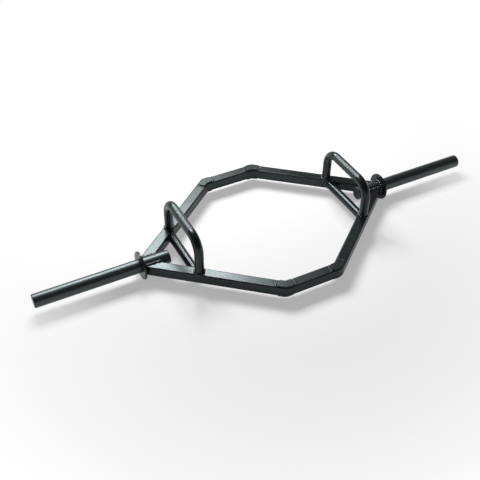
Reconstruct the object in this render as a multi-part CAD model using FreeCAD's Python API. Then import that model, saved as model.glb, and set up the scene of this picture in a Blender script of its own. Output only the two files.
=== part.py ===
import FreeCAD, Part
import math
import os

# Hex trap bar in millimetres: X along the sleeves, Y from front to back, Z up.
# The origin is on the floor below the middle of the frame, and the two collars touch the floor.

# Hexagonal frame of square tube, measured on the tube's centreline
tube_size = 40.0
tube_wall = 4.0
tube_corner = 5.0
apex_x = 505.0
corner_x = 107.0
corner_y = 326.0
corner_inner_radius = 2.0

# Gusset plates over and under the mitred corners of the frame
gusset_length = 30.0
gusset_inset = 4.0
gusset_thickness = 5.0
gusset_end_radius = 9.0
gusset_inner_radius = 24.0
gusset_edge_radius = 1.5

# Loading sleeves, with the collars that the plates lean on
sleeve_diameter = 50.0
sleeve_wall = 5.0
sleeve_rise = 8.0
collar_seat_cut = 0.5
loading_length = 385.0
collar_diameter = 104.0
collar_thickness = 8.0
collar_setback = 2.0
collar_chamfer = 1.5
cap_thickness = 4.0
cap_setback = 0.6
cap_chamfer = 1.2
cap_spigot = 8.0
plug_thickness = 5.0
plug_recess = 1.5

# Handles of round tube, placed by their distance from the frame's apex
handle_diameter = 33.7
handle_wall = 3.2
low_handle_setback = 157.0
raised_handle_setback = 161.0
raised_handle_height = 153.0
raised_handle_bend = 58.0
hand_gap = 40.0

# Welds, and the clearance of the collar and arms round the sleeve, and of its cap and plug
weld_leg = 3.0
sleeve_weld_leg = 6.0
weld_toe = 0.4
seam_width = 6.0
seam_height = 0.8
slip_clearance = 0.2

# Places that follow from the sizes above
sleeve_z = collar_diameter / 2
frame_z = sleeve_z - sleeve_rise
frame_top = frame_z + tube_size / 2
sleeve_radius = sleeve_diameter / 2
stub_radius = sleeve_radius - collar_seat_cut
bore_radius = sleeve_radius - sleeve_wall
handle_radius = handle_diameter / 2
collar_inner_x = apex_x + collar_setback
collar_outer_x = collar_inner_x + collar_thickness
sleeve_end_x = collar_outer_x + loading_length
low_handle_x = apex_x - low_handle_setback
raised_handle_x = apex_x - raised_handle_setback
stub_end_x = low_handle_x + handle_radius + hand_gap
arm_angle = math.atan2(corner_y, apex_x - corner_x)
arm_length = (apex_x - corner_x) / math.cos(arm_angle)
corner_radius = tube_size / 2 + corner_inner_radius
corner_tangent = corner_radius * math.tan(arm_angle / 2)

V = FreeCAD.Vector
X_AXIS = V(1, 0, 0)
Y_AXIS = V(0, 1, 0)
Z_AXIS = V(0, 0, 1)
CENTRE = V(0, 0, 0)
ALONG_ARM = V(math.cos(arm_angle), -math.sin(arm_angle), 0)
ACROSS_ARM = V(math.sin(arm_angle), math.cos(arm_angle), 0)
SIDES = ("left", "right")
ROWS = ("front", "back")


def arm_point(distance):
    """Point on the back right arm's centreline, at a distance from the frame's corner."""
    return V(corner_x, corner_y, frame_z) + ALONG_ARM * distance


def arm_centre_y(x):
    return (apex_x - x) * math.tan(arm_angle)


def to_side(shape, side):
    """A right-hand piece, or its mirror image on the left."""
    return shape.mirror(CENTRE, X_AXIS) if side == "left" else shape


def to_row(shape, row):
    """A back piece, or its mirror image at the front."""
    return shape.mirror(CENTRE, Y_AXIS) if row == "front" else shape


def to_bottom(shape):
    """Mirror image below the frame's middle plane."""
    return shape.mirror(V(0, 0, frame_z), Z_AXIS)


def square_outline(size, corner):
    """Rounded square in the YZ plane, round the X axis."""
    half = size / 2
    flat = half - corner
    diagonal = flat + corner * math.sqrt(0.5)
    side = Part.makeLine(V(0, -flat, -half), V(0, flat, -half))
    bend = Part.Arc(V(0, flat, -half), V(0, diagonal, -diagonal), V(0, half, -flat)).toShape()
    edges = []
    for quarter in range(4):
        for edge in (side, bend):
            edges.append(edge.rotated(CENTRE, X_AXIS, 90 * quarter))
    return Part.Wire(edges)


def tube_outline(grow):
    """The frame tube's outer outline, with every side moved out by a distance."""
    return square_outline(tube_size + 2 * grow, tube_corner + grow)


def tube_bore_outline():
    return square_outline(tube_size - 2 * tube_wall, tube_corner - min(tube_wall, tube_corner / 2))


def corner_point(turn):
    """Point on the rounded corner of the frame's centreline, after a part of the corner's turn."""
    centre = V(corner_x - corner_tangent, corner_y - corner_radius, frame_z)
    return centre + V(math.sin(turn), math.cos(turn), 0) * corner_radius


def corner_arc(turn_from, turn_to):
    turns = (turn_from, (turn_from + turn_to) / 2, turn_to)
    return Part.Arc(*[corner_point(turn) for turn in turns]).toShape()


def arm_path():
    """Centreline of the back right arm, from the mitre past the apex."""
    bend = corner_arc(arm_angle / 2, arm_angle)
    return Part.Wire([bend, Part.makeLine(corner_point(arm_angle), arm_point(arm_length + 2 * tube_size))])


def bar_path():
    """Centreline of the back bar, from its right mitre to its left one."""
    bend = corner_arc(arm_angle / 2, 0)
    straight = Part.makeLine(corner_point(0), corner_point(0) - X_AXIS * (2 * corner_point(0).x))
    left_bend = Part.Arc(*[V(-corner_point(turn).x, corner_point(turn).y, frame_z)
                           for turn in (0, arm_angle / 4, arm_angle / 2)]).toShape()
    return Part.Wire([bend, straight, left_bend])


def at_mitre(shape):
    """Move a shape made on the YZ plane to the back right corner's mitre."""
    return shape.rotated(CENTRE, Z_AXIS, -math.degrees(arm_angle) / 2).translated(corner_point(arm_angle / 2))


def swept(path, outline):
    """Solid of a tube outline that starts on the mitre and follows a path."""
    return path.makePipeShell([at_mitre(outline)], True, False)


def arm_envelope(grow):
    """The filled back right arm, running on past the apex."""
    length = arm_length - corner_tangent + 2 * tube_size
    filled = Part.Face(tube_outline(grow)).extrude(V(length, 0, 0))
    return filled.rotated(CENTRE, Z_AXIS, -math.degrees(arm_angle)).translated(arm_point(corner_tangent))


def arm_block(inner, outer, height):
    """Block along the back right arm, between two distances out from its centreline, level with it."""
    block = Part.makeBox(arm_length, outer - inner, height, V(0, inner, -height / 2))
    return block.rotated(CENTRE, Z_AXIS, -math.degrees(arm_angle)).translated(arm_point(0))


def turned(points):
    """Solid of revolution round the right sleeve's axis from (x, radius) points."""
    corners = [V(x, 0, sleeve_z + radius) for x, radius in points]
    profile = Part.Face(Part.makePolygon(corners + corners[:1]))
    return profile.revolve(V(0, 0, sleeve_z), X_AXIS, 360)


def ring(x0, x1, inner, outer):
    return turned([(x0, inner), (x1, inner), (x1, outer), (x0, outer)])


def stub_core(radius):
    """Solid round bar on the right sleeve's axis, from its inner end to the collar's outer face."""
    return Part.makeCylinder(radius, collar_outer_x - stub_end_x, V(stub_end_x, 0, sleeve_z), X_AXIS)


def arm():
    """Square tube, mitred at the corner and the apex, cut off at the collar, coped to the sleeve."""
    tube = swept(arm_path(), tube_outline(0)).cut(swept(arm_path(), tube_bore_outline()))
    quarter = Part.makeBox(collar_inner_x, 2 * corner_y, 2 * frame_top)
    return tube.common(quarter).cut(stub_core(stub_radius + slip_clearance))


def bar():
    """Square tube between two mitred corners."""
    return swept(bar_path(), tube_outline(0)).cut(swept(bar_path(), tube_bore_outline()))


def rounded_outline(points, radii):
    """Closed flat outline through points, with an arc of its own radius at each."""
    edges = []
    starts = []
    ends = []
    for index, point in enumerate(points):
        to_last = (points[index - 1] - point).normalize()
        to_next = (points[(index + 1) % len(points)] - point).normalize()
        half_angle = to_last.getAngle(to_next) / 2
        reach = radii[index] / math.tan(half_angle)
        inward = (to_last + to_next).normalize()
        middle = point + inward * (radii[index] / math.sin(half_angle) - radii[index])
        starts.append(point + to_last * reach)
        ends.append(point + to_next * reach)
        edges.append(Part.Arc(starts[-1], middle, ends[-1]).toShape())
    for index, end in enumerate(ends):
        edges.append(Part.makeLine(end, starts[(index + 1) % len(starts)]))
    return Part.Wire(Part.__sortEdges__(edges))


def gusset_outline(grow, z):
    """Outline of a gusset plate, with every side moved out by a distance."""
    half_width = tube_size / 2 - gusset_inset + grow
    length = gusset_length + grow
    across_mitre = V(math.sin(arm_angle / 2), math.cos(arm_angle / 2), 0) * (1 / math.cos(arm_angle / 2))
    corner = V(corner_x, corner_y, z)
    points = [
        corner - X_AXIS * length + Y_AXIS * half_width,
        corner + across_mitre * half_width,
        corner + ALONG_ARM * length + ACROSS_ARM * half_width,
        corner + ALONG_ARM * length - ACROSS_ARM * half_width,
        corner - across_mitre * half_width,
        corner - X_AXIS * length - Y_AXIS * half_width,
    ]
    end_radius = gusset_end_radius + grow
    outer_radius = corner_radius + half_width
    inner_radius = gusset_inner_radius - grow
    radii = (end_radius, outer_radius, end_radius, end_radius, inner_radius, end_radius)
    return rounded_outline(points, radii)


def top_gusset():
    """Bent plate with rounded ends and upper edges, flat on the frame's top face across a mitre."""
    plate = Part.Face(gusset_outline(0, frame_top)).extrude(V(0, 0, gusset_thickness))
    upper_edges = [edge for edge in plate.Edges if edge.BoundBox.ZMin > frame_top + gusset_thickness / 2]
    return plate.makeFillet(min(gusset_edge_radius, gusset_thickness / 2), upper_edges)


def bottom_gusset():
    return to_bottom(top_gusset())


def corner_welds():
    """Fillet beads round both gusset plates of a corner, and the mitre's bead between them."""
    frame_core = swept(arm_path(), tube_outline(0)).fuse(swept(bar_path(), tube_outline(0)))
    stations = ((-tube_corner, weld_leg), (0, weld_leg), (weld_leg, weld_toe))
    outlines = [gusset_outline(grow, frame_top + lift) for lift, grow in stations]
    fillet = Part.makeLoft(outlines, True, True).cut(frame_core).cut(top_gusset())
    fillets = [fillet, to_bottom(fillet)]
    half = seam_width / 2
    seam_stations = ((-half, 0), (-half / 2, seam_height), (half / 2, seam_height), (half, 0))
    rings = [tube_outline(weld_toe / 2 + rise).translated(V(x, 0, 0)) for x, rise in seam_stations]
    seam = at_mitre(Part.makeLoft(rings, True, True)).cut(frame_core)
    for solid in fillets + [top_gusset(), bottom_gusset()]:
        seam = seam.cut(solid)
    return Part.Compound(fillets[0].Solids + fillets[1].Solids + seam.Solids)


def sleeve():
    """Round tube, turned down inboard so that the collar seats on a shoulder."""
    cap_seat_x = sleeve_end_x - cap_thickness
    return turned([
        (stub_end_x, bore_radius),
        (cap_seat_x, bore_radius),
        (cap_seat_x, sleeve_radius),
        (collar_outer_x, sleeve_radius),
        (collar_outer_x, stub_radius),
        (stub_end_x, stub_radius),
    ])


def sleeve_end_cap():
    """Chamfered disc with a spigot in the sleeve's bore."""
    seat_x = sleeve_end_x - cap_thickness
    rim = sleeve_radius - cap_setback
    spigot_radius = bore_radius - slip_clearance
    return turned([
        (seat_x - cap_spigot, 0),
        (sleeve_end_x, 0),
        (sleeve_end_x, rim - cap_chamfer),
        (sleeve_end_x - cap_chamfer, rim),
        (seat_x, rim),
        (seat_x, spigot_radius),
        (seat_x - cap_spigot, spigot_radius),
    ])


def sleeve_inner_plug():
    """Disc that closes the sleeve's inner end, a little inside it."""
    x0 = stub_end_x + plug_recess
    return ring(x0, x0 + plug_thickness, 0, bore_radius - slip_clearance)


def collar():
    bore = stub_radius + slip_clearance
    rim = collar_diameter / 2
    return turned([
        (collar_inner_x, bore),
        (collar_outer_x, bore),
        (collar_outer_x, rim - collar_chamfer),
        (collar_outer_x - collar_chamfer, rim),
        (collar_inner_x + collar_chamfer, rim),
        (collar_inner_x, rim - collar_chamfer),
    ])


def sleeve_welds():
    """Beads where the sleeve meets both arms, and where the sleeve and the arms meet the collar."""
    arms = [to_row(arm_envelope(0), row) for row in ROWS]
    wide_arms = [to_row(arm_envelope(sleeve_weld_leg), row) for row in ROWS]
    wide_sleeve = stub_core(stub_radius + sleeve_weld_leg)
    inboard = Part.makeBox(collar_inner_x, 2 * corner_y, 2 * frame_top).translated(V(0, -corner_y, 0))
    at_collar = ring(collar_inner_x - sleeve_weld_leg, collar_inner_x, 0, collar_diameter / 2 - collar_chamfer)
    along_sleeve = wide_arms[0].fuse(wide_arms[1]).common(wide_sleeve).common(inboard)
    along_collar = wide_arms[0].fuse(wide_arms[1]).fuse(wide_sleeve).common(at_collar)
    beads = along_sleeve.fuse(along_collar)
    for solid in arms + [stub_core(stub_radius + slip_clearance)]:
        beads = beads.cut(solid)
    return beads.removeSplitter()


def low_handle():
    """Round tube between the two arms, coped to their inner faces."""
    half_length = arm_centre_y(low_handle_x)
    start = V(low_handle_x, -half_length, frame_z)
    tube = Part.makeCylinder(handle_radius, 2 * half_length, start, Y_AXIS)
    tube = tube.cut(Part.makeCylinder(handle_radius - handle_wall, 2 * half_length, start, Y_AXIS))
    past_corner = arm_block(tube_corner - tube_size / 2, tube_size / 2, 2 * handle_diameter)
    for row in ROWS:
        tube = tube.cut(to_row(arm_envelope(0), row)).cut(to_row(past_corner, row))
    return tube


def low_handle_bead():
    """Filled fillet round the back end of a low handle, on the arm's inner face and no higher than it."""
    face_y = arm_centre_y(low_handle_x) - tube_size / 2 / math.cos(arm_angle)
    face_point = V(low_handle_x, face_y, frame_z)
    rings = []
    for lift, reach in ((-tube_corner, weld_leg), (0, weld_leg), (weld_leg, weld_toe)):
        centre = face_point - Y_AXIS * (lift / math.cos(arm_angle))
        radius = handle_radius + reach
        long_end = centre + ALONG_ARM * (radius / math.cos(arm_angle))
        rings.append(Part.Wire(Part.Ellipse(long_end, centre + Z_AXIS * radius, centre).toShape()))
    return Part.makeLoft(rings, True, True).common(arm_block(-tube_size, 0, tube_size))


def low_handle_welds():
    """Fillet beads on the arms' inner faces, round both ends of a low handle."""
    handle_core = Part.makeCylinder(handle_radius, 2 * corner_y, V(low_handle_x, -corner_y, frame_z), Y_AXIS)
    bead = low_handle_bead().cut(handle_core).cut(arm_envelope(0)).cut(raised_foot(handle_radius, weld_leg))
    return Part.Compound([to_row(bead, row) for row in ROWS])


def raised_foot(radius, height):
    """Filled back foot of a raised handle, from the arm's rounded edges to a height above its top."""
    foot = V(raised_handle_x, arm_centre_y(raised_handle_x), frame_top - tube_corner)
    return Part.makeCylinder(radius, tube_corner + height, foot)


def raised_handle_path():
    """Centreline of a raised handle, from its front foot over the top to its back foot."""
    foot_y = arm_centre_y(raised_handle_x)
    top_z = frame_z + raised_handle_height
    shoulder_z = top_z - raised_handle_bend
    shoulder_y = foot_y - raised_handle_bend
    middle = raised_handle_bend * math.sqrt(0.5)
    x = raised_handle_x
    foot_z = frame_top - tube_corner
    front_bend = Part.Arc(V(x, -foot_y, shoulder_z), V(x, -shoulder_y - middle, shoulder_z + middle),
                          V(x, -shoulder_y, top_z))
    back_bend = Part.Arc(V(x, shoulder_y, top_z), V(x, shoulder_y + middle, shoulder_z + middle),
                         V(x, foot_y, shoulder_z))
    return Part.Wire([
        Part.makeLine(V(x, -foot_y, foot_z), V(x, -foot_y, shoulder_z)),
        front_bend.toShape(),
        Part.makeLine(V(x, -shoulder_y, top_z), V(x, shoulder_y, top_z)),
        back_bend.toShape(),
        Part.makeLine(V(x, foot_y, shoulder_z), V(x, foot_y, foot_z)),
    ])


def raised_handle():
    """Bent round tube, standing on the two arms and coped to their rounded corners."""
    path = raised_handle_path()
    start = path.OrderedVertexes[0].Point
    skins = []
    for radius in (handle_radius, handle_radius - handle_wall):
        outline = Part.Wire(Part.makeCircle(radius, start, Z_AXIS))
        skins.append(path.makePipeShell([outline], True, False))
    tube = skins[0].cut(skins[1])
    for row in ROWS:
        tube = tube.cut(to_row(arm_envelope(0), row))
    return tube


def raised_handle_welds():
    """Fillet beads on the arms' top faces, round both feet of a raised handle, no wider than the arms."""
    foot_top = V(raised_handle_x, arm_centre_y(raised_handle_x), frame_top)
    fillet = Part.makeCone(handle_radius + weld_leg, handle_radius + weld_toe, weld_leg, foot_top)
    bead = raised_foot(handle_radius + weld_leg, 0).fuse(fillet)
    bead = bead.common(arm_block(-tube_size / 2, tube_size / 2, 2 * tube_size))
    for solid in (raised_foot(handle_radius, 2 * weld_leg), arm_envelope(0), low_handle_bead()):
        bead = bead.cut(solid)
    bead = bead.removeSplitter()
    return Part.Compound([to_row(bead, row) for row in ROWS])


os.makedirs("parts", exist_ok=True)
nodes = {}
for row in ROWS:
    nodes[row + "_bar"] = to_row(bar(), row)
    for side in SIDES:
        for make in (arm, top_gusset, bottom_gusset, corner_welds):
            nodes[row + "_" + side + "_" + make.__name__] = to_side(to_row(make(), row), side)
for side in SIDES:
    for make in (sleeve, sleeve_end_cap, sleeve_inner_plug, collar, sleeve_welds,
                 low_handle, low_handle_welds, raised_handle, raised_handle_welds):
        nodes[side + "_" + make.__name__] = to_side(make(), side)

for name, shape in nodes.items():
    shape.exportStep("parts/" + name + ".step")
    print(name, len(shape.Solids), "solids", round(shape.Volume), "mm3, valid", shape.isValid())
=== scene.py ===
import itertools
import math
import random

import bmesh
import bpy
import numpy as np
from mathutils import Matrix, Vector


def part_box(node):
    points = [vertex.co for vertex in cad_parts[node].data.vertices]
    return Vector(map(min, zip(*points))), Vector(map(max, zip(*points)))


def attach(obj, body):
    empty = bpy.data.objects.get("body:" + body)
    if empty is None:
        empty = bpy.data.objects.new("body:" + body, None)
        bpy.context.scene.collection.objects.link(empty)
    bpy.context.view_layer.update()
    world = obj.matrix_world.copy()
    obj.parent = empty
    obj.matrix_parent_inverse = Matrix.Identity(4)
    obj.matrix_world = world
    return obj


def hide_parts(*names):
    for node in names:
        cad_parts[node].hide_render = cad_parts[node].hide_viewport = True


# Hex trap bar: finishes, rippled welds and knurled grips on the bar's own frame, in metres.
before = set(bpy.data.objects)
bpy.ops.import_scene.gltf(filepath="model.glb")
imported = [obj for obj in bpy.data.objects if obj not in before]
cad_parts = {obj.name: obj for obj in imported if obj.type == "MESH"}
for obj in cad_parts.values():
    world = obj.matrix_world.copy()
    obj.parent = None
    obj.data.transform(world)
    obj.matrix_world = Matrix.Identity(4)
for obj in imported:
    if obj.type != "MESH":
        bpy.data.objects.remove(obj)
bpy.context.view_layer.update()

# Camera of the photograph: degrees round the frame's middle, metres, and pixels of a square image
VIEW_AZIMUTH = -28.15
VIEW_ELEVATION = 41.80
VIEW_ROLL = 0.99
VIEW_DISTANCE = 2.8557
VIEW_OFFSET_RIGHT = -0.1026
VIEW_OFFSET_UP = -0.0569
IMAGE_PIXELS = 480
FOCAL_PIXELS = 754.7
SENSOR_WIDTH_MM = 36.0

# Studio: one wide soft lamp behind the bar, a pale floor that whitens away from it, and a pale horizon
LAMP_PLACE = (0.0, 1.85, 2.20)
LAMP_WIDTH = 1.70
LAMP_HEIGHT = 0.95
LAMP_WATTS = 135.0
FLOOR_SIZE = 60.0
FLOOR_COLOUR = (0.76, 0.76, 0.76, 1.0)
FLOOR_ROUGHNESS = 0.9
NEAR_WHITENESS = 0.38
WHITENING_SPAN = (0.60, 1.25)
WHITE = (1.0, 1.0, 1.0, 1.0)
HORIZON_LIGHT = 1.0
CEILING_LIGHT = 0.09
HORIZON_TOP = 0.06
CEILING_START = 0.30

# Sizes of the bar that its boxes don't give
CORNER_X = 0.107
CORNER_INNER_RADIUS = 0.002
TUBE_CORNER = 0.005
GUSSET_END_RADIUS = 0.009
GUSSET_INNER_RADIUS = 0.024
RAISED_BEND = 0.058
SLEEVE_SEAT_CUT = 0.0005

# Weld beads
BEAD_RADIUS = 0.0052
SLEEVE_BEAD_RADIUS = 0.0066
PLATE_BEAD_RADIUS = 0.0022
END_BEAD_HALF_WIDTH = 0.0040
END_BEAD_HEIGHT = 0.0020
END_BEAD_OFFSET = 0.0046
SEAM_HALF_WIDTH = 0.0030
SEAM_HEIGHT = 0.0008
BEAD_SIDES = 16

# Ripples of a bead, like a row of tilted coins: shares of its width, size and ripple, then counts
RIPPLE_PER_WIDTH = 1.45
RIPPLE_DEPTH = 0.26
RIPPLE_LAG = 0.45
RIPPLE_WANDER = 0.14
RINGS_PER_RIPPLE = 10
LEAST_RIPPLES = 3
SPARE_SIZES = 2

# Which way the sleeve's bead faces: its leans beside the stub and where it turns down, and the stub's share
CREST_LEAN = 0.4
TURN_LEAN = 0.3
STUB_SHARE = 0.5

# Diamond knurl on the raised handles
KNURL_STEP = 0.0008
KNURL_FLOOR = 0.00003
KNURL_HEIGHT = 0.00010

# Colours of the coat, and how strongly each finish mirrors
COAT_BLACK = (0.0030, 0.0038, 0.0040, 1.0)
COAT_GREY = (0.0075, 0.0092, 0.0096, 1.0)
DUST_GREY = (0.20, 0.21, 0.21, 1.0)
EDGE_GREY = (0.050, 0.054, 0.055, 1.0)
COAT_TINT = (0.79, 0.97, 1.0, 1.0)
COAT_SPECULAR = 0.40
WELD_SPECULAR = 0.65
SLEEVE_SPECULAR = 0.92
GRIP_SPECULAR = 0.80

# Grains per metre of the coat's textures; the rubs have them along and across the sleeve
PEEL_GRAINS = 420
SLEEVE_PEEL_GRAINS = 300
FINE_GRAINS = 2600
MOTTLE_GRAINS = 330
CLOUD_GRAINS = 11
CHIP_GRAINS = 160
SPECK_GRAINS = 750
SLEEVE_SPECK_GRAINS = 600
RUB_GRAINS = (26, 900, 900)
WEAR_GRAINS = 9
GRIP_PATCH_GRAINS = 60

# Spans of a pattern's values, from 0 to 1, over which it takes effect, and where dust starts and its fade
NOISE_SPAN = (0.3, 0.7)
GREY_SPAN = (0.35, 0.70)
CHIP_SPAN = (0.45, 0.65)
WEAR_SPAN = (0.45, 0.65)
RUB_SPAN = (0.55, 0.75)
RUB_GLOSS_SPAN = (0.3, 0.8)
TIP_SPAN = (0.55, 1.0)
SLEEVE_DUST = 0.735
SPECK_FADE = 0.03

# Strength of the marks, swings of the roughness and depths of the relief
SPECK_STRENGTH = 0.6
RUB_STRENGTH = 0.5
TIP_STRENGTH = 0.75
TIP_WEAR = (0.35, 1.0)
CLOUD_SWING = 0.035
GRAIN_SWING = 0.05
SLEEVE_GRAIN_SWING = 0.03
SLEEVE_ROUGHNESS = (0.38, 0.46)
GRIP_ROUGHNESS = (0.36, 0.46)
SLEEVE_PEEL_DEPTH = 0.00003
GRIP_GRAIN_DEPTH = 0.00001
GRAIN_DEPTH_SHARE = 0.12

# Sharp edges: radius and samples of their rounding, and how far rounded and true normals agree on them
EDGE_RADIUS = 0.0012
EDGE_SAMPLES = 4
EDGE_AGREEMENT = (0.995, 0.93)

# Sockets of the mix node when it mixes colours
MIX_FACTOR = 0
MIX_FIRST = 6
MIX_SECOND = 7
MIX_RESULT = 2

# Sides, rows and directions of the bar
SIDE_SIGNS = {"left": -1, "right": 1}
ROW_SIGNS = {"front": -1, "back": 1}
ALONG_BAR = Vector((1, 0, 0))
ACROSS_BAR = Vector((0, 1, 0))
UP = Vector((0, 0, 1))

# Places read from the boxes of the bar's pieces
bar_low, bar_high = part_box("back_bar")
tube_size = bar_high.z - bar_low.z
frame_top = bar_high.z
frame_mid = (bar_low.z + bar_high.z) / 2
corner_y = bar_high.y - tube_size / 2
raised_low, raised_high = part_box("right_raised_handle")
handle_radius = (raised_high.x - raised_low.x) / 2
raised_x = (raised_low.x + raised_high.x) / 2
raised_foot_y = raised_high.y - handle_radius
raised_axis_z = raised_high.z - handle_radius
low_low, low_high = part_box("right_low_handle")
low_x = (low_low.x + low_high.x) / 2
collar_inner_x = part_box("right_collar")[0].x
sleeve_low, sleeve_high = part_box("right_sleeve")
sleeve_z = (sleeve_low.z + sleeve_high.z) / 2
stub_radius = (sleeve_high.z - sleeve_low.z) / 2 - SLEEVE_SEAT_CUT
gusset_low, gusset_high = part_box("back_right_top_gusset")
gusset_length = CORNER_X - gusset_low.x
gusset_half_width = gusset_high.y - corner_y

# The back right arm, the way its mitre faces, and the stub's angle from straight up at the frame's top
arm_slope = (corner_y - raised_foot_y) / (raised_x - CORNER_X)
arm_angle = math.atan(arm_slope)
apex_x = raised_x + raised_foot_y / arm_slope
along_arm = Vector((math.cos(arm_angle), -math.sin(arm_angle), 0))
across_arm = Vector((math.sin(arm_angle), math.cos(arm_angle), 0))
mitre_facing = Vector((math.sin(arm_angle / 2), math.cos(arm_angle / 2), 0))
stub_top_turn = math.acos((frame_top - sleeve_z) / stub_radius)


def link(name, data):
    """New object in the scene."""
    made = bpy.data.objects.new(name, data)
    bpy.context.scene.collection.objects.link(made)
    return made


class Shader:
    """One procedural material, built node by node."""

    def __init__(self, name):
        self.material = bpy.data.materials.new(name)
        self.material.use_nodes = True
        self.tree = self.material.node_tree
        self.surface = self.tree.nodes["Principled BSDF"]
        self.places = self.node("ShaderNodeTexCoord").outputs["Object"]

    def node(self, kind, settings=(), inputs=()):
        """New node, with its settings and with values or sockets on its inputs."""
        made = self.tree.nodes.new(kind)
        for name, value in dict(settings).items():
            setattr(made, name, value)
        for name, value in dict(inputs).items():
            self.feed(made, name, value)
        return made

    def feed(self, node, name, value):
        """Link a socket to a node's input, or set the input's own value."""
        if isinstance(value, bpy.types.NodeSocket):
            self.tree.links.new(value, node.inputs[name])
        else:
            node.inputs[name].default_value = value

    def noise(self, per_metre, detail, stretch=(1, 1, 1)):
        """Noise from 0 to 1, with a number of grains per metre."""
        scaled = self.node("ShaderNodeMapping", inputs={"Vector": self.places, "Scale": stretch})
        inputs = {"Vector": scaled.outputs["Vector"], "Scale": per_metre, "Detail": detail}
        return self.node("ShaderNodeTexNoise", inputs=inputs).outputs["Fac"]

    def spread(self, value, span, reach):
        """Value carried from one range to another and held there."""
        inputs = {"Value": value, "From Min": span[0], "From Max": span[1],
                  "To Min": reach[0], "To Max": reach[1]}
        return self.node("ShaderNodeMapRange", {"clamp": True}, inputs).outputs["Result"]

    def mask(self, value, span, strength=1.0):
        """Nought before a span of values, and the full strength past it."""
        return self.spread(value, span, (0.0, strength))

    def swing(self, noise, amount):
        """Noise as a swing to both sides of nought."""
        return self.spread(noise, NOISE_SPAN, (-amount, amount))

    def specks(self, per_metre, start):
        """Grains of dust, where the noise is above a start."""
        return self.mask(self.noise(per_metre, detail=1.0), (start, start + SPECK_FADE), SPECK_STRENGTH)

    def math(self, operation, first, second):
        """Result of one operation on two values."""
        return self.node("ShaderNodeMath", {"operation": operation}, {0: first, 1: second}).outputs[0]

    def mix(self, factor, first, second):
        """Colour between two others."""
        inputs = {MIX_FACTOR: factor, MIX_FIRST: first, MIX_SECOND: second}
        return self.node("ShaderNodeMix", {"data_type": "RGBA"}, inputs).outputs[MIX_RESULT]

    def bump(self, height, depth, normal=None):
        """Normal of a relief, laid over another normal where one is given."""
        inputs = {"Height": height, "Distance": depth, "Strength": 1.0}
        if normal is not None:
            inputs["Normal"] = normal
        return self.node("ShaderNodeBump", inputs=inputs).outputs["Normal"]

    def rounded_edges(self):
        """Normal of the surface with its sharp edges rounded."""
        settings = {"samples": EDGE_SAMPLES}
        return self.node("ShaderNodeBevel", settings, {"Radius": EDGE_RADIUS}).outputs["Normal"]

    def edge_mask(self, rounded):
        """One on sharp edges and nought on flats, from how far the rounded normal turns away."""
        true_normal = self.node("ShaderNodeNewGeometry").outputs["Normal"]
        inputs = {0: rounded, 1: true_normal}
        agree = self.node("ShaderNodeVectorMath", {"operation": "DOT_PRODUCT"}, inputs).outputs["Value"]
        return self.mask(agree, EDGE_AGREEMENT)

    def finish(self, colour, roughness, normal, specular):
        """The finished material, with the coat's tint on what it mirrors."""
        for name, value in {"Base Color": colour, "Roughness": roughness, "Normal": normal}.items():
            self.feed(self.surface, name, value)
        self.surface.inputs["Specular IOR Level"].default_value = specular
        self.surface.inputs["Specular Tint"].default_value = COAT_TINT
        return self.material


def powder_coat(name, roughness, peel_depth, dust, mottling, specular):
    """Satin black powder coat: orange peel, fine grain, uneven gloss, thin edges and a little dust."""
    shader = Shader(name)
    peel = shader.noise(PEEL_GRAINS, detail=2.0)
    grain = shader.noise(FINE_GRAINS, detail=3.0)
    cloud = shader.noise(CLOUD_GRAINS, detail=3.0)
    mottle = shader.noise(MOTTLE_GRAINS, detail=2.0)
    chips = shader.noise(CHIP_GRAINS, detail=4.0)
    rounded = shader.rounded_edges()
    edges = shader.math("MULTIPLY", shader.edge_mask(rounded), shader.mask(chips, CHIP_SPAN))
    colour = shader.mix(shader.mask(grain, GREY_SPAN), COAT_BLACK, COAT_GREY)
    colour = shader.mix(shader.specks(SPECK_GRAINS, dust), colour, DUST_GREY)
    colour = shader.mix(edges, colour, EDGE_GREY)
    gloss = shader.math("ADD", shader.swing(cloud, CLOUD_SWING), roughness)
    gloss = shader.math("ADD", gloss, shader.swing(grain, GRAIN_SWING))
    gloss = shader.math("ADD", gloss, shader.swing(mottle, mottling))
    normal = shader.bump(peel, peel_depth, rounded)
    normal = shader.bump(grain, peel_depth * GRAIN_DEPTH_SHARE, normal)
    return shader.finish(colour, gloss, normal, specular)


def sleeve_coat(name):
    """The same coat on a drawn tube, with faint rubs along the sleeve where plates slide."""
    shader = Shader(name)
    peel = shader.noise(SLEEVE_PEEL_GRAINS, detail=2.0)
    grain = shader.noise(FINE_GRAINS, detail=3.0)
    rubs = shader.noise(1.0, detail=4.0, stretch=RUB_GRAINS)
    wear = shader.noise(WEAR_GRAINS, detail=3.0)
    worn = shader.math("MULTIPLY", shader.mask(rubs, RUB_SPAN, RUB_STRENGTH), shader.mask(wear, WEAR_SPAN))
    colour = shader.mix(shader.mask(grain, GREY_SPAN), COAT_BLACK, COAT_GREY)
    colour = shader.mix(worn, colour, EDGE_GREY)
    colour = shader.mix(shader.specks(SLEEVE_SPECK_GRAINS, SLEEVE_DUST), colour, DUST_GREY)
    gloss = shader.spread(rubs, RUB_GLOSS_SPAN, SLEEVE_ROUGHNESS)
    gloss = shader.math("ADD", gloss, shader.swing(grain, SLEEVE_GRAIN_SWING))
    normal = shader.bump(peel, SLEEVE_PEEL_DEPTH, shader.rounded_edges())
    return shader.finish(colour, gloss, normal, SLEEVE_SPECULAR)


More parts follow.
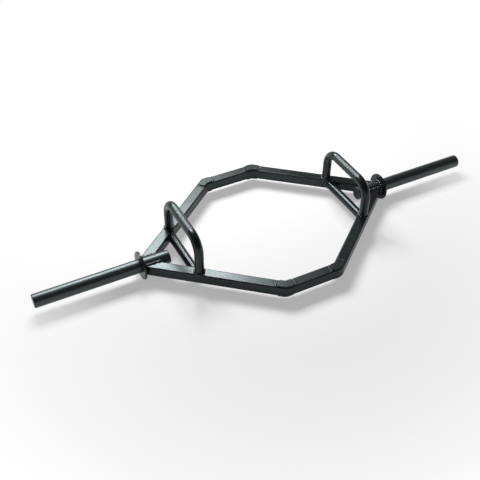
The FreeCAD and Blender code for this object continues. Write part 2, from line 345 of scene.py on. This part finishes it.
def grip_coat(name):
    """Coat over the knurl: dull, with the tips of the diamonds rubbed paler."""
    shader = Shader(name)
    height = shader.node("ShaderNodeAttribute", {"attribute_name": "knurl_height"}).outputs["Fac"]
    patches = shader.noise(GRIP_PATCH_GRAINS, detail=4.0)
    grain = shader.noise(FINE_GRAINS, detail=3.0)
    tips = shader.mask(height, TIP_SPAN, TIP_STRENGTH)
    rubbed = shader.math("MULTIPLY", tips, shader.spread(patches, NOISE_SPAN, TIP_WEAR))
    colour = shader.mix(rubbed, COAT_BLACK, EDGE_GREY)
    gloss = shader.spread(patches, NOISE_SPAN, GRIP_ROUGHNESS)
    return shader.finish(colour, gloss, shader.bump(grain, GRIP_GRAIN_DEPTH), GRIP_SPECULAR)


def make_materials():
    """The bar's finishes, by kind of piece."""
    return {
        "frame": powder_coat("frame_coat", roughness=0.30, peel_depth=0.00004, dust=0.72,
                             mottling=0.025, specular=COAT_SPECULAR),
        "sleeve": sleeve_coat("sleeve_coat"),
        "handle": powder_coat("handle_coat", roughness=0.28, peel_depth=0.00001, dust=0.75,
                              mottling=0.01, specular=COAT_SPECULAR),
        "grip": grip_coat("grip_coat"),
        "weld": powder_coat("weld_coat", roughness=0.25, peel_depth=0.00002, dust=0.76,
                            mottling=0.01, specular=WELD_SPECULAR),
        "seam": powder_coat("seam_coat", roughness=0.25, peel_depth=0.00002, dust=0.76,
                            mottling=0.01, specular=COAT_SPECULAR),
    }


def dress_nodes(materials):
    """Give every node of the frame the finish of its kind."""
    for name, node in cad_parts.items():
        if "welds" in name:
            kind = "weld"
        elif "handle" in name:
            kind = "handle"
        elif name.endswith("sleeve"):
            kind = "sleeve"
        else:
            kind = "frame"
        node.data.materials.clear()
        node.data.materials.append(materials[kind])


def mirrored(path, side, row):
    """A path of the back right quarter, on another quarter."""
    turn = Vector((SIDE_SIGNS[side], ROW_SIGNS[row], 1))
    return [(point * turn, outward * turn) for point, outward in path]


def flipped(path):
    """A path above the frame's middle plane, below it."""
    made = []
    for point, outward in path:
        below = Vector((point.x, point.y, 2 * frame_mid - point.z))
        made.append((below, Vector((outward.x, outward.y, -outward.z))))
    return made


def evenly(path, closed, pitch):
    """Points and outward directions at even steps along a path, with the ripples run to each."""
    stops = list(path) + ([path[0]] if closed else [])
    points = np.array([point for point, _ in stops])
    outs = np.array([outward for _, outward in stops])
    runs = np.concatenate([[0], np.cumsum(np.linalg.norm(np.diff(points, axis=0), axis=1))])
    ripples = max(LEAST_RIPPLES, round(runs[-1] / pitch))
    count = ripples * RINGS_PER_RIPPLE
    at = np.linspace(0, runs[-1], count + 1)[:count + (not closed)]
    spaced = np.stack([np.interp(at, runs, points[:, axis]) for axis in range(3)], axis=1)
    outward = np.stack([np.interp(at, runs, outs[:, axis]) for axis in range(3)], axis=1)
    return spaced, outward, at * ripples / runs[-1]


def unit(vectors):
    """Rows of an array at a length of one."""
    return vectors / np.linalg.norm(vectors, axis=1, keepdims=True)


def bead_rings(path, closed, half_width, height, chance):
    """Places of a rippled bead's rings along a path of (point, outward direction) pairs."""
    points, outward, ripple = evenly(path, closed, half_width * RIPPLE_PER_WIDTH)
    if closed:
        tangent = unit(np.roll(points, -1, axis=0) - np.roll(points, 1, axis=0))
    else:
        tangent = unit(np.gradient(points, axis=0))
    outward = unit(outward - tangent * np.sum(outward * tangent, axis=1, keepdims=True))
    side = np.cross(tangent, outward)
    ripples = int(round(ripple[-1])) + 1
    sizes = np.array([1 + RIPPLE_WANDER * chance.uniform(-1, 1) for _ in range(ripples + SPARE_SIZES)])
    angles = np.arange(BEAD_SIDES) * 2 * math.pi / BEAD_SIDES
    across = np.sin(angles)
    up = np.cos(angles)
    phase = ripple[:, None] - RIPPLE_LAG * across[None, :] ** 2
    coin = np.floor(phase)
    scallop = 1 - RIPPLE_DEPTH * (2 * (phase - coin) - 1) ** 2
    size = scallop * sizes[(coin.astype(int) + 1) % ripples]
    return (points[:, None, :]
            + side[:, None, :] * (half_width * across * size)[:, :, None]
            + outward[:, None, :] * (height * up * size)[:, :, None])


def add_bead(mesh, path, closed, half_width, height, chance):
    """One bead, half sunk in the metal: a loop on a closed path, with flat ends on an open one."""
    places = bead_rings(path, closed, half_width, height, chance)
    rings = [[mesh.verts.new(place) for place in ring] for ring in places]
    pairs = list(zip(rings, rings[1:]))
    if closed:
        pairs.append((rings[-1], rings[0]))
    else:
        mesh.faces.new(rings[0])
        mesh.faces.new(rings[-1])
    for first, second in pairs:
        for corner in range(BEAD_SIDES):
            after = (corner + 1) % BEAD_SIDES
            mesh.faces.new((first[corner], first[after], second[after], second[corner]))


def weld_piece(node, beads, coat, seed):
    """One object of rippled beads that stands for a node's plain fillets."""
    name = node.replace("welds", "beads")
    chance = random.Random(seed)
    mesh = bmesh.new()
    for path, closed, half_width, height in beads:
        add_bead(mesh, path, closed, half_width, height, chance)
    bmesh.ops.recalc_face_normals(mesh, faces=mesh.faces)
    data = bpy.data.meshes.new(name)
    mesh.to_mesh(data)
    mesh.free()
    data.shade_smooth()
    data.materials.append(coat)
    piece = link(name, data)
    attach(piece, "root")
    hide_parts(node)


def edge_drop(across):
    """How far the arm's top has rounded away at a distance from the arm's centreline."""
    past_flat = min(max(0.0, abs(across) - (tube_size / 2 - TUBE_CORNER)), TUBE_CORNER)
    return TUBE_CORNER - math.sqrt(TUBE_CORNER ** 2 - past_flat ** 2)


def round_corner(before, corner, after, radius, steps=8):
    """Points of the arc that rounds one corner of a flat outline."""
    to_last = (before - corner).normalized()
    to_next = (after - corner).normalized()
    half = to_last.angle(to_next) / 2
    centre = corner + (to_last + to_next).normalized() * (radius / math.sin(half))
    start = (corner + to_last * (radius / math.tan(half)) - centre).normalized()
    end = (corner + to_next * (radius / math.tan(half)) - centre).normalized()
    return [centre + start.slerp(end, step / steps) * radius for step in range(steps + 1)]


def gusset_foot():
    """Foot of the back right top gusset, as the points and level directions of its six rounded corners."""
    corner = Vector((CORNER_X, corner_y, frame_top))
    width = gusset_half_width
    to_mitre = mitre_facing / math.cos(arm_angle / 2) * width
    corners = [
        corner - ALONG_BAR * gusset_length + ACROSS_BAR * width,
        corner + to_mitre,
        corner + along_arm * gusset_length + across_arm * width,
        corner + along_arm * gusset_length - across_arm * width,
        corner - to_mitre,
        corner - ALONG_BAR * gusset_length - ACROSS_BAR * width,
    ]
    outer_radius = tube_size / 2 + CORNER_INNER_RADIUS + width
    radii = (GUSSET_END_RADIUS, outer_radius, GUSSET_END_RADIUS,
             GUSSET_END_RADIUS, GUSSET_INNER_RADIUS, GUSSET_END_RADIUS)
    points = []
    for index, radius in enumerate(radii):
        after = corners[(index + 1) % len(corners)]
        points += round_corner(corners[index - 1], corners[index], after, radius)
    foot = []
    for index, point in enumerate(points):
        run = points[(index + 1) % len(points)] - points[index - 1]
        foot.append((point, Vector((-run.y, run.x, 0)).normalized()))
    steps = len(foot) // len(radii)
    return [foot[start:start + steps] for start in range(0, len(foot), steps)]


def plate_beads():
    """Fillets along both sides of a gusset, and a humped bead a little way off each of its ends."""
    bar_outer, outer_bend, arm_outer, arm_inner, inner_bend, bar_inner = gusset_foot()
    outer_side = bar_outer[-1:] + outer_bend + arm_outer[:1]
    inner_side = arm_inner[-1:] + inner_bend + bar_inner[:1]
    beads = []
    for run in (outer_side, inner_side):
        path = [(point, level + UP) for point, level in run]
        beads.append((path, PLATE_BEAD_RADIUS, PLATE_BEAD_RADIUS))
    middle = len(arm_outer) // 2
    for first, second in ((arm_outer, arm_inner), (bar_inner, bar_outer)):
        run = first[middle + 1:] + second[:middle]
        path = [(point + level * END_BEAD_OFFSET, UP) for point, level in run]
        beads.append((path, END_BEAD_HALF_WIDTH, END_BEAD_HEIGHT))
    return beads


def seam_path(outer):
    """Upright line of the back right mitre, on its outer or inner side, between the two gussets."""
    radius = tube_size / 2 + CORNER_INNER_RADIUS
    cut_back = radius / math.cos(arm_angle / 2) - radius
    middle = Vector((CORNER_X, corner_y, frame_mid)) - mitre_facing * cut_back
    outward = mitre_facing if outer else -mitre_facing
    face = middle + outward * (tube_size / 2)
    half = tube_size / 2 - TUBE_CORNER
    return [(face - UP * half, outward), (face + UP * half, outward)]


def corner_beads(side, row):
    """All beads of one corner of the frame: round both gussets, and up both sides of the mitre."""
    beads = []
    for path, half_width, height in plate_beads():
        for face in (path, flipped(path)):
            beads.append((mirrored(face, side, row), False, half_width, height))
    for outer in (True, False):
        beads.append((mirrored(seam_path(outer), side, row), False, SEAM_HALF_WIDTH, SEAM_HEIGHT))
    return beads


def raised_foot_path(steps=96):
    """Ring round the back foot of the right raised handle, on the arm's rounded top."""
    path = []
    for step in range(steps):
        turn = 2 * math.pi * step / steps
        outward = Vector((math.cos(turn), math.sin(turn), 0))
        drop = edge_drop(handle_radius * outward.dot(across_arm))
        point = Vector((raised_x, raised_foot_y, frame_top - drop)) + outward * handle_radius
        path.append((point, outward + UP))
    return path


def low_end_path(steps=96):
    """Ring round the back end of the right low handle, on the arm's inner face."""
    path = []
    for step in range(steps):
        turn = 2 * math.pi * step / steps
        outward = Vector((math.cos(turn), 0, math.sin(turn)))
        x = low_x + handle_radius * outward.x
        z = handle_radius * outward.z
        face = tube_size / 2 - edge_drop(z)
        y = (apex_x - x) * arm_slope - face / math.cos(arm_angle)
        path.append((Vector((x, y, frame_mid + z)), outward - across_arm))
    return path


def stub_line(turn):
    """Place and outward direction on the stub where it meets the back arm, by angle from straight up."""
    level = math.sin(turn)
    rise = math.cos(turn)
    y = stub_radius * level
    x = apex_x - (y + tube_size / 2 / math.cos(arm_angle)) / arm_slope
    return Vector((x, y, sleeve_z + stub_radius * rise)), Vector((0, level, rise))


def stub_path(steps=40):
    """Line from the collar along the back arm's top, then round under the stub to the front arm's top."""
    top_point = stub_line(stub_top_turn)[0]
    crest = UP - ACROSS_BAR * CREST_LEAN
    half = [
        (Vector((collar_inner_x, top_point.y, frame_top)), crest),
        (top_point, crest - ALONG_BAR * TURN_LEAN),
    ]
    for step in range(1, steps + 1):
        point, outward = stub_line(stub_top_turn + (math.pi - stub_top_turn) * step / steps)
        half.append((point, outward * STUB_SHARE - across_arm))
    return half + mirrored(reversed(half[:-1]), "right", "front")


def collar_path(steps=24):
    """Ring on the collar's inner face, over the stub and round the two cut-off arms."""
    path = []
    for step in range(steps + 1):
        turn = -stub_top_turn + 2 * stub_top_turn * step / steps
        outward = Vector((0, math.sin(turn), math.cos(turn)))
        point = Vector((collar_inner_x, 0, sleeve_z)) + outward * stub_radius
        path.append((point, outward - ALONG_BAR))
    arm_side = (apex_x - collar_inner_x) * arm_slope + tube_size / 2 / math.cos(arm_angle)
    bottom = frame_top - tube_size
    corners = [(arm_side, frame_top), (arm_side, bottom), (-arm_side, bottom), (-arm_side, frame_top)]
    for y, z in corners:
        outward = Vector((0, y, z - frame_mid)).normalized()
        path.append((Vector((collar_inner_x, y, z)), outward - ALONG_BAR))
    return path


def build_welds(materials):
    """Rippled beads for each weld node: the four corners, then the handles and sleeve of each side."""
    seeds = itertools.count(1)
    for row in ROW_SIGNS:
        for side in SIDE_SIGNS:
            beads = corner_beads(side, row)
            weld_piece(f"{row}_{side}_corner_welds", beads, materials["seam"], next(seeds))
    for side in SIDE_SIGNS:
        rings = {"raised_handle": raised_foot_path(), "low_handle": low_end_path()}
        for kind, path in rings.items():
            beads = [(mirrored(path, side, row), True, BEAD_RADIUS, BEAD_RADIUS) for row in ROW_SIGNS]
            weld_piece(f"{side}_{kind}_welds", beads, materials["weld"], next(seeds))
        beads = [
            (mirrored(stub_path(), side, "back"), False, SLEEVE_BEAD_RADIUS, SLEEVE_BEAD_RADIUS),
            (mirrored(collar_path(), side, "back"), True, SLEEVE_BEAD_RADIUS, SLEEVE_BEAD_RADIUS),
        ]
        weld_piece(f"{side}_sleeve_welds", beads, materials["weld"], next(seeds))


def knurl_places(side, around, along):
    """Places of a grip's rows of points, every other one a peak, and how high each stands from 0 to 1."""
    half_length = raised_foot_y - RAISED_BEND
    x = SIDE_SIGNS[side] * raised_x
    places = []
    heights = []
    for row in range(along):
        y = half_length * (2 * row / (along - 1) - 1)
        at_end = row in (0, along - 1)
        for step in range(around):
            peak = (row + step) % 2 == 0 and not at_end
            radius = handle_radius + KNURL_FLOOR + KNURL_HEIGHT * peak
            turn = 2 * math.pi * step / around
            places.append((x + radius * math.cos(turn), y, raised_axis_z + radius * math.sin(turn)))
            heights.append(float(peak))
    return places, heights


def knurl_faces(around, along):
    """Triangles between a grip's points, folded along the grooves, with a flat face on each end."""
    faces = []
    for row in range(along - 1):
        for step in range(around):
            here = row * around + step
            beside = row * around + (step + 1) % around
            ahead = here + around
            across = beside + around
            if (row + step) % 2 == 0:
                faces += [(here, ahead, beside), (beside, ahead, across)]
            else:
                faces += [(here, across, beside), (here, ahead, across)]
    faces.append(tuple(range(around)))
    faces.append(tuple(range((along - 1) * around, along * around))[::-1])
    return faces


def build_knurl(side, materials):
    """Diamond knurl round the straight top of a raised handle: pyramids between crossing grooves."""
    name = f"{side}_knurled_grip"
    around = 2 * round(math.pi * handle_radius / KNURL_STEP)
    along = 2 * round((raised_foot_y - RAISED_BEND) / KNURL_STEP) + 1
    places, heights = knurl_places(side, around, along)
    data = bpy.data.meshes.new(name)
    data.from_pydata(places, [], knurl_faces(around, along))
    data.attributes.new("knurl_height", "FLOAT", "POINT").data.foreach_set("value", heights)
    data.materials.append(materials["grip"])
    piece = link(name, data)
    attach(piece, "root")


def build_floor():
    """Wide pale floor that keeps the bar's shadow and turns white away from the bar."""
    half = FLOOR_SIZE / 2
    corners = [(-half, -half, 0), (half, -half, 0), (half, half, 0), (-half, half, 0)]
    data = bpy.data.meshes.new("floor")
    data.from_pydata(corners, [], [(0, 1, 2, 3)])
    floor = link("floor", data)
    shader = Shader("floor_paper")
    surface = {"Base Color": FLOOR_COLOUR, "Roughness": FLOOR_ROUGHNESS, "Specular IOR Level": 0.0}
    for name, value in surface.items():
        shader.feed(shader.surface, name, value)
    path = shader.node("ShaderNodeLightPath").outputs
    seen = shader.math("MAXIMUM", path["Is Camera Ray"], path["Is Glossy Ray"])
    seen = shader.math("MAXIMUM", seen, path["Is Transmission Ray"])
    away = shader.node("ShaderNodeVectorMath", {"operation": "LENGTH"}, {0: shader.places}).outputs["Value"]
    share = shader.math("MULTIPLY", seen, shader.spread(away, WHITENING_SPAN, (NEAR_WHITENESS, 1.0)))
    white = shader.node("ShaderNodeEmission", inputs={"Color": WHITE, "Strength": 1.0})
    inputs = {0: share, 1: shader.surface.outputs[0], 2: white.outputs[0]}
    blend = shader.node("ShaderNodeMixShader", inputs=inputs)
    shader.feed(shader.tree.nodes["Material Output"], "Surface", blend.outputs[0])
    data.materials.append(shader.material)


def build_lamp():
    """Wide soft lamp behind the bar and above it, turned to the frame's middle."""
    data = bpy.data.lights.new("soft_lamp", "AREA")
    data.shape = "RECTANGLE"
    data.size = LAMP_WIDTH
    data.size_y = LAMP_HEIGHT
    data.energy = LAMP_WATTS
    lamp = link("soft_lamp", data)
    lamp.location = LAMP_PLACE
    lamp.rotation_mode = "QUATERNION"
    lamp.rotation_quaternion = (Vector(LAMP_PLACE) - UP * frame_mid).to_track_quat("Z", "Y")
    lamp.visible_camera = False


def build_surroundings():
    """A world that is pale at the horizon and dim overhead."""
    world = bpy.data.worlds.new("studio")
    bpy.context.scene.world = world
    world.use_nodes = True
    tree = world.node_tree
    coordinates = tree.nodes.new("ShaderNodeTexCoord")
    height = tree.nodes.new("ShaderNodeSeparateXYZ")
    fade = tree.nodes.new("ShaderNodeMapRange")
    fade.interpolation_type = "SMOOTHSTEP"
    settings = {"From Min": HORIZON_TOP, "From Max": CEILING_START,
                "To Min": HORIZON_LIGHT, "To Max": CEILING_LIGHT}
    for name, value in settings.items():
        fade.inputs[name].default_value = value
    background = tree.nodes["Background"]
    background.inputs["Color"].default_value = WHITE
    tree.links.new(coordinates.outputs["Generated"], height.inputs[0])
    tree.links.new(height.outputs["Z"], fade.inputs["Value"])
    tree.links.new(fade.outputs["Result"], background.inputs["Strength"])


def build_camera():
    """Camera at the photograph's viewing angle, with its small roll."""
    azimuth, elevation, roll = (math.radians(turn) for turn in (VIEW_AZIMUTH, VIEW_ELEVATION, VIEW_ROLL))
    level = math.cos(elevation)
    back = Vector((math.sin(azimuth) * level, -math.cos(azimuth) * level, math.sin(elevation)))
    flat_right = UP.cross(back).normalized()
    flat_up = back.cross(flat_right)
    right = flat_right * math.cos(roll) + flat_up * math.sin(roll)
    up = flat_up * math.cos(roll) - flat_right * math.sin(roll)
    data = bpy.data.cameras.new("photo_camera")
    data.sensor_width = SENSOR_WIDTH_MM
    data.lens = FOCAL_PIXELS / IMAGE_PIXELS * SENSOR_WIDTH_MM
    camera = link("photo_camera", data)
    place = back * VIEW_DISTANCE + right * VIEW_OFFSET_RIGHT + up * VIEW_OFFSET_UP + UP * frame_mid
    camera.matrix_world = Matrix.Translation(place) @ Matrix((right, up, back)).transposed().to_4x4()
    bpy.context.scene.camera = camera


materials = make_materials()
dress_nodes(materials)
build_welds(materials)
for side in SIDE_SIGNS:
    build_knurl(side, materials)
build_floor()
build_lamp()
build_surroundings()
build_camera()
bpy.context.scene.view_settings.view_transform = "Standard"
